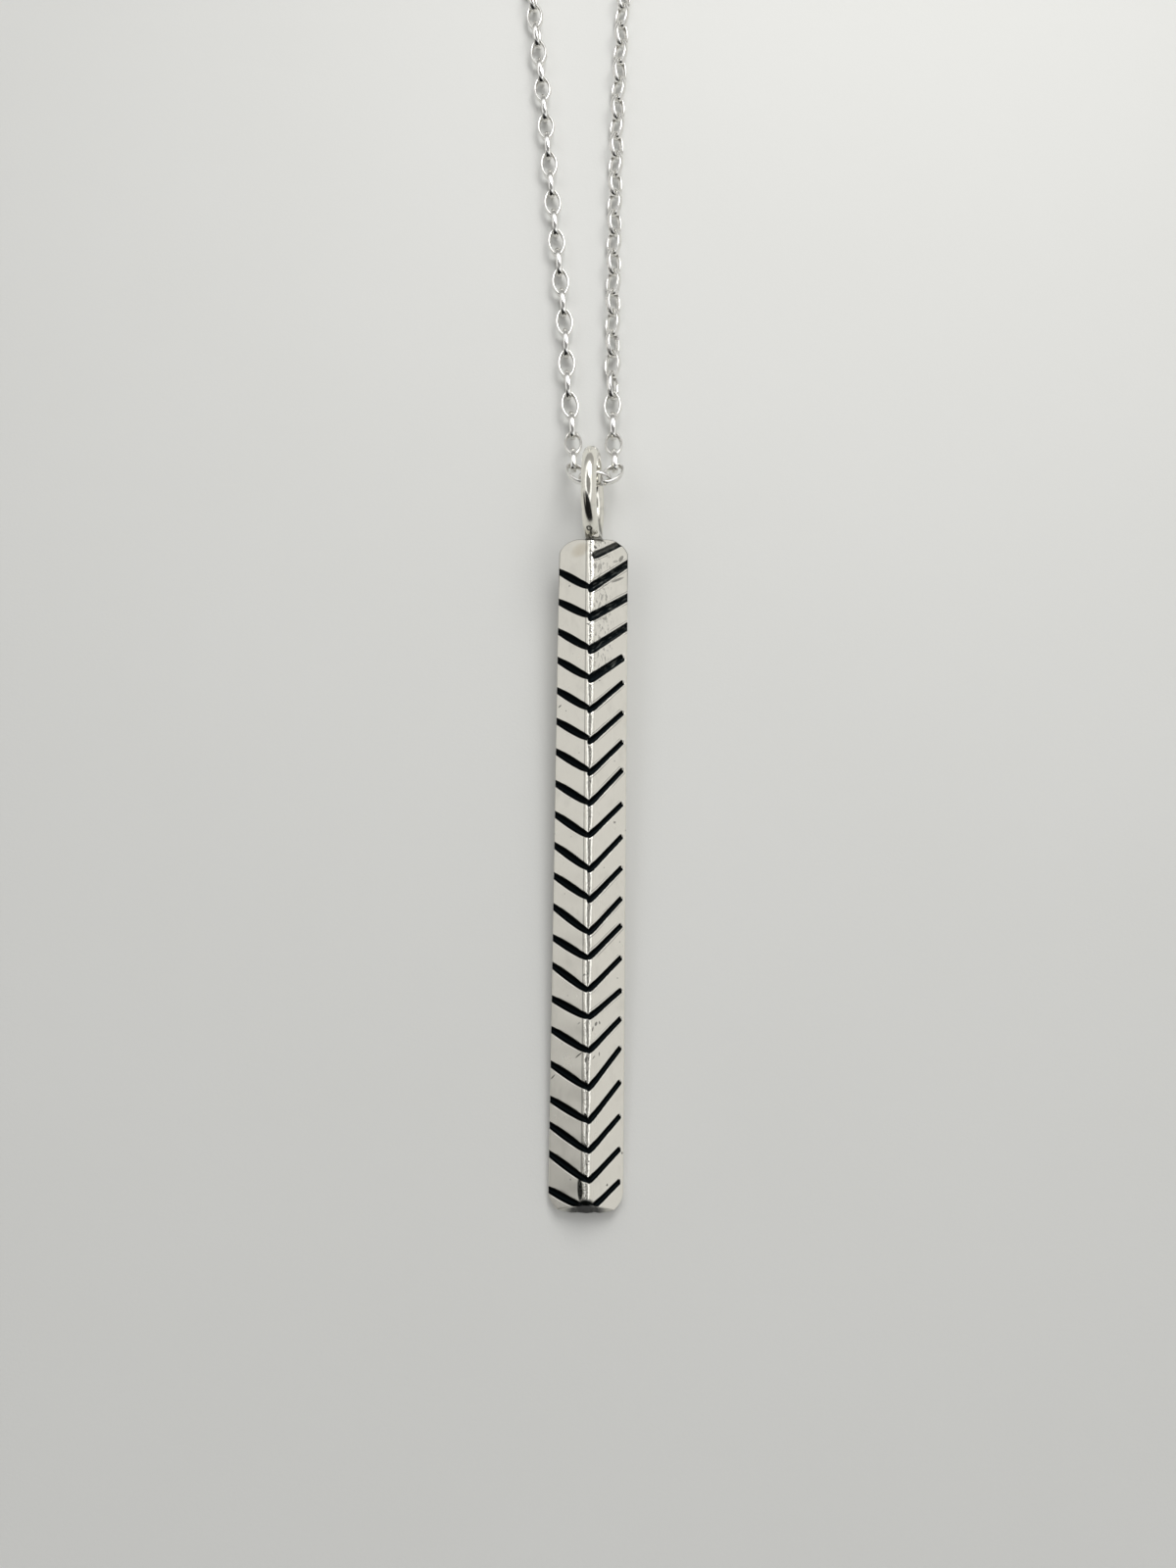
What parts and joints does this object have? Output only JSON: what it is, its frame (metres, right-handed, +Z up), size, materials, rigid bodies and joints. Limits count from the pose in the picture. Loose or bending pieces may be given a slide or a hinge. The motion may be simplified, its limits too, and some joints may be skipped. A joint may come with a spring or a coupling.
{
  "type": "bar pendant on a necklace chain",
  "caption": "Slim silver bar pendant of triangular section with filed, blackened chevron grooves, a soldered ring bail and a fine oval belcher chain, lying on a surface.",
  "frame": {"origin": "middle of the whole object's box, on the surface it lies on", "axes": "+Z up from the surface, +Y along the bar from its plain end towards the chain's clasp, +X to the right seen from above"},
  "size_m": [0.0828, 0.2499, 0.007],
  "materials": {
    "bar_silver": "hand-polished sterling silver, blackened in the grooves, lightly scratched",
    "chain_silver": "bright polished sterling silver"
  },
  "bodies": {
    "root": {"pendant_bar": "bar_silver", "chain_front": "chain_silver", "chain_back": "chain_silver", "clasp": "chain_silver"}
  },
  "joints": []
}
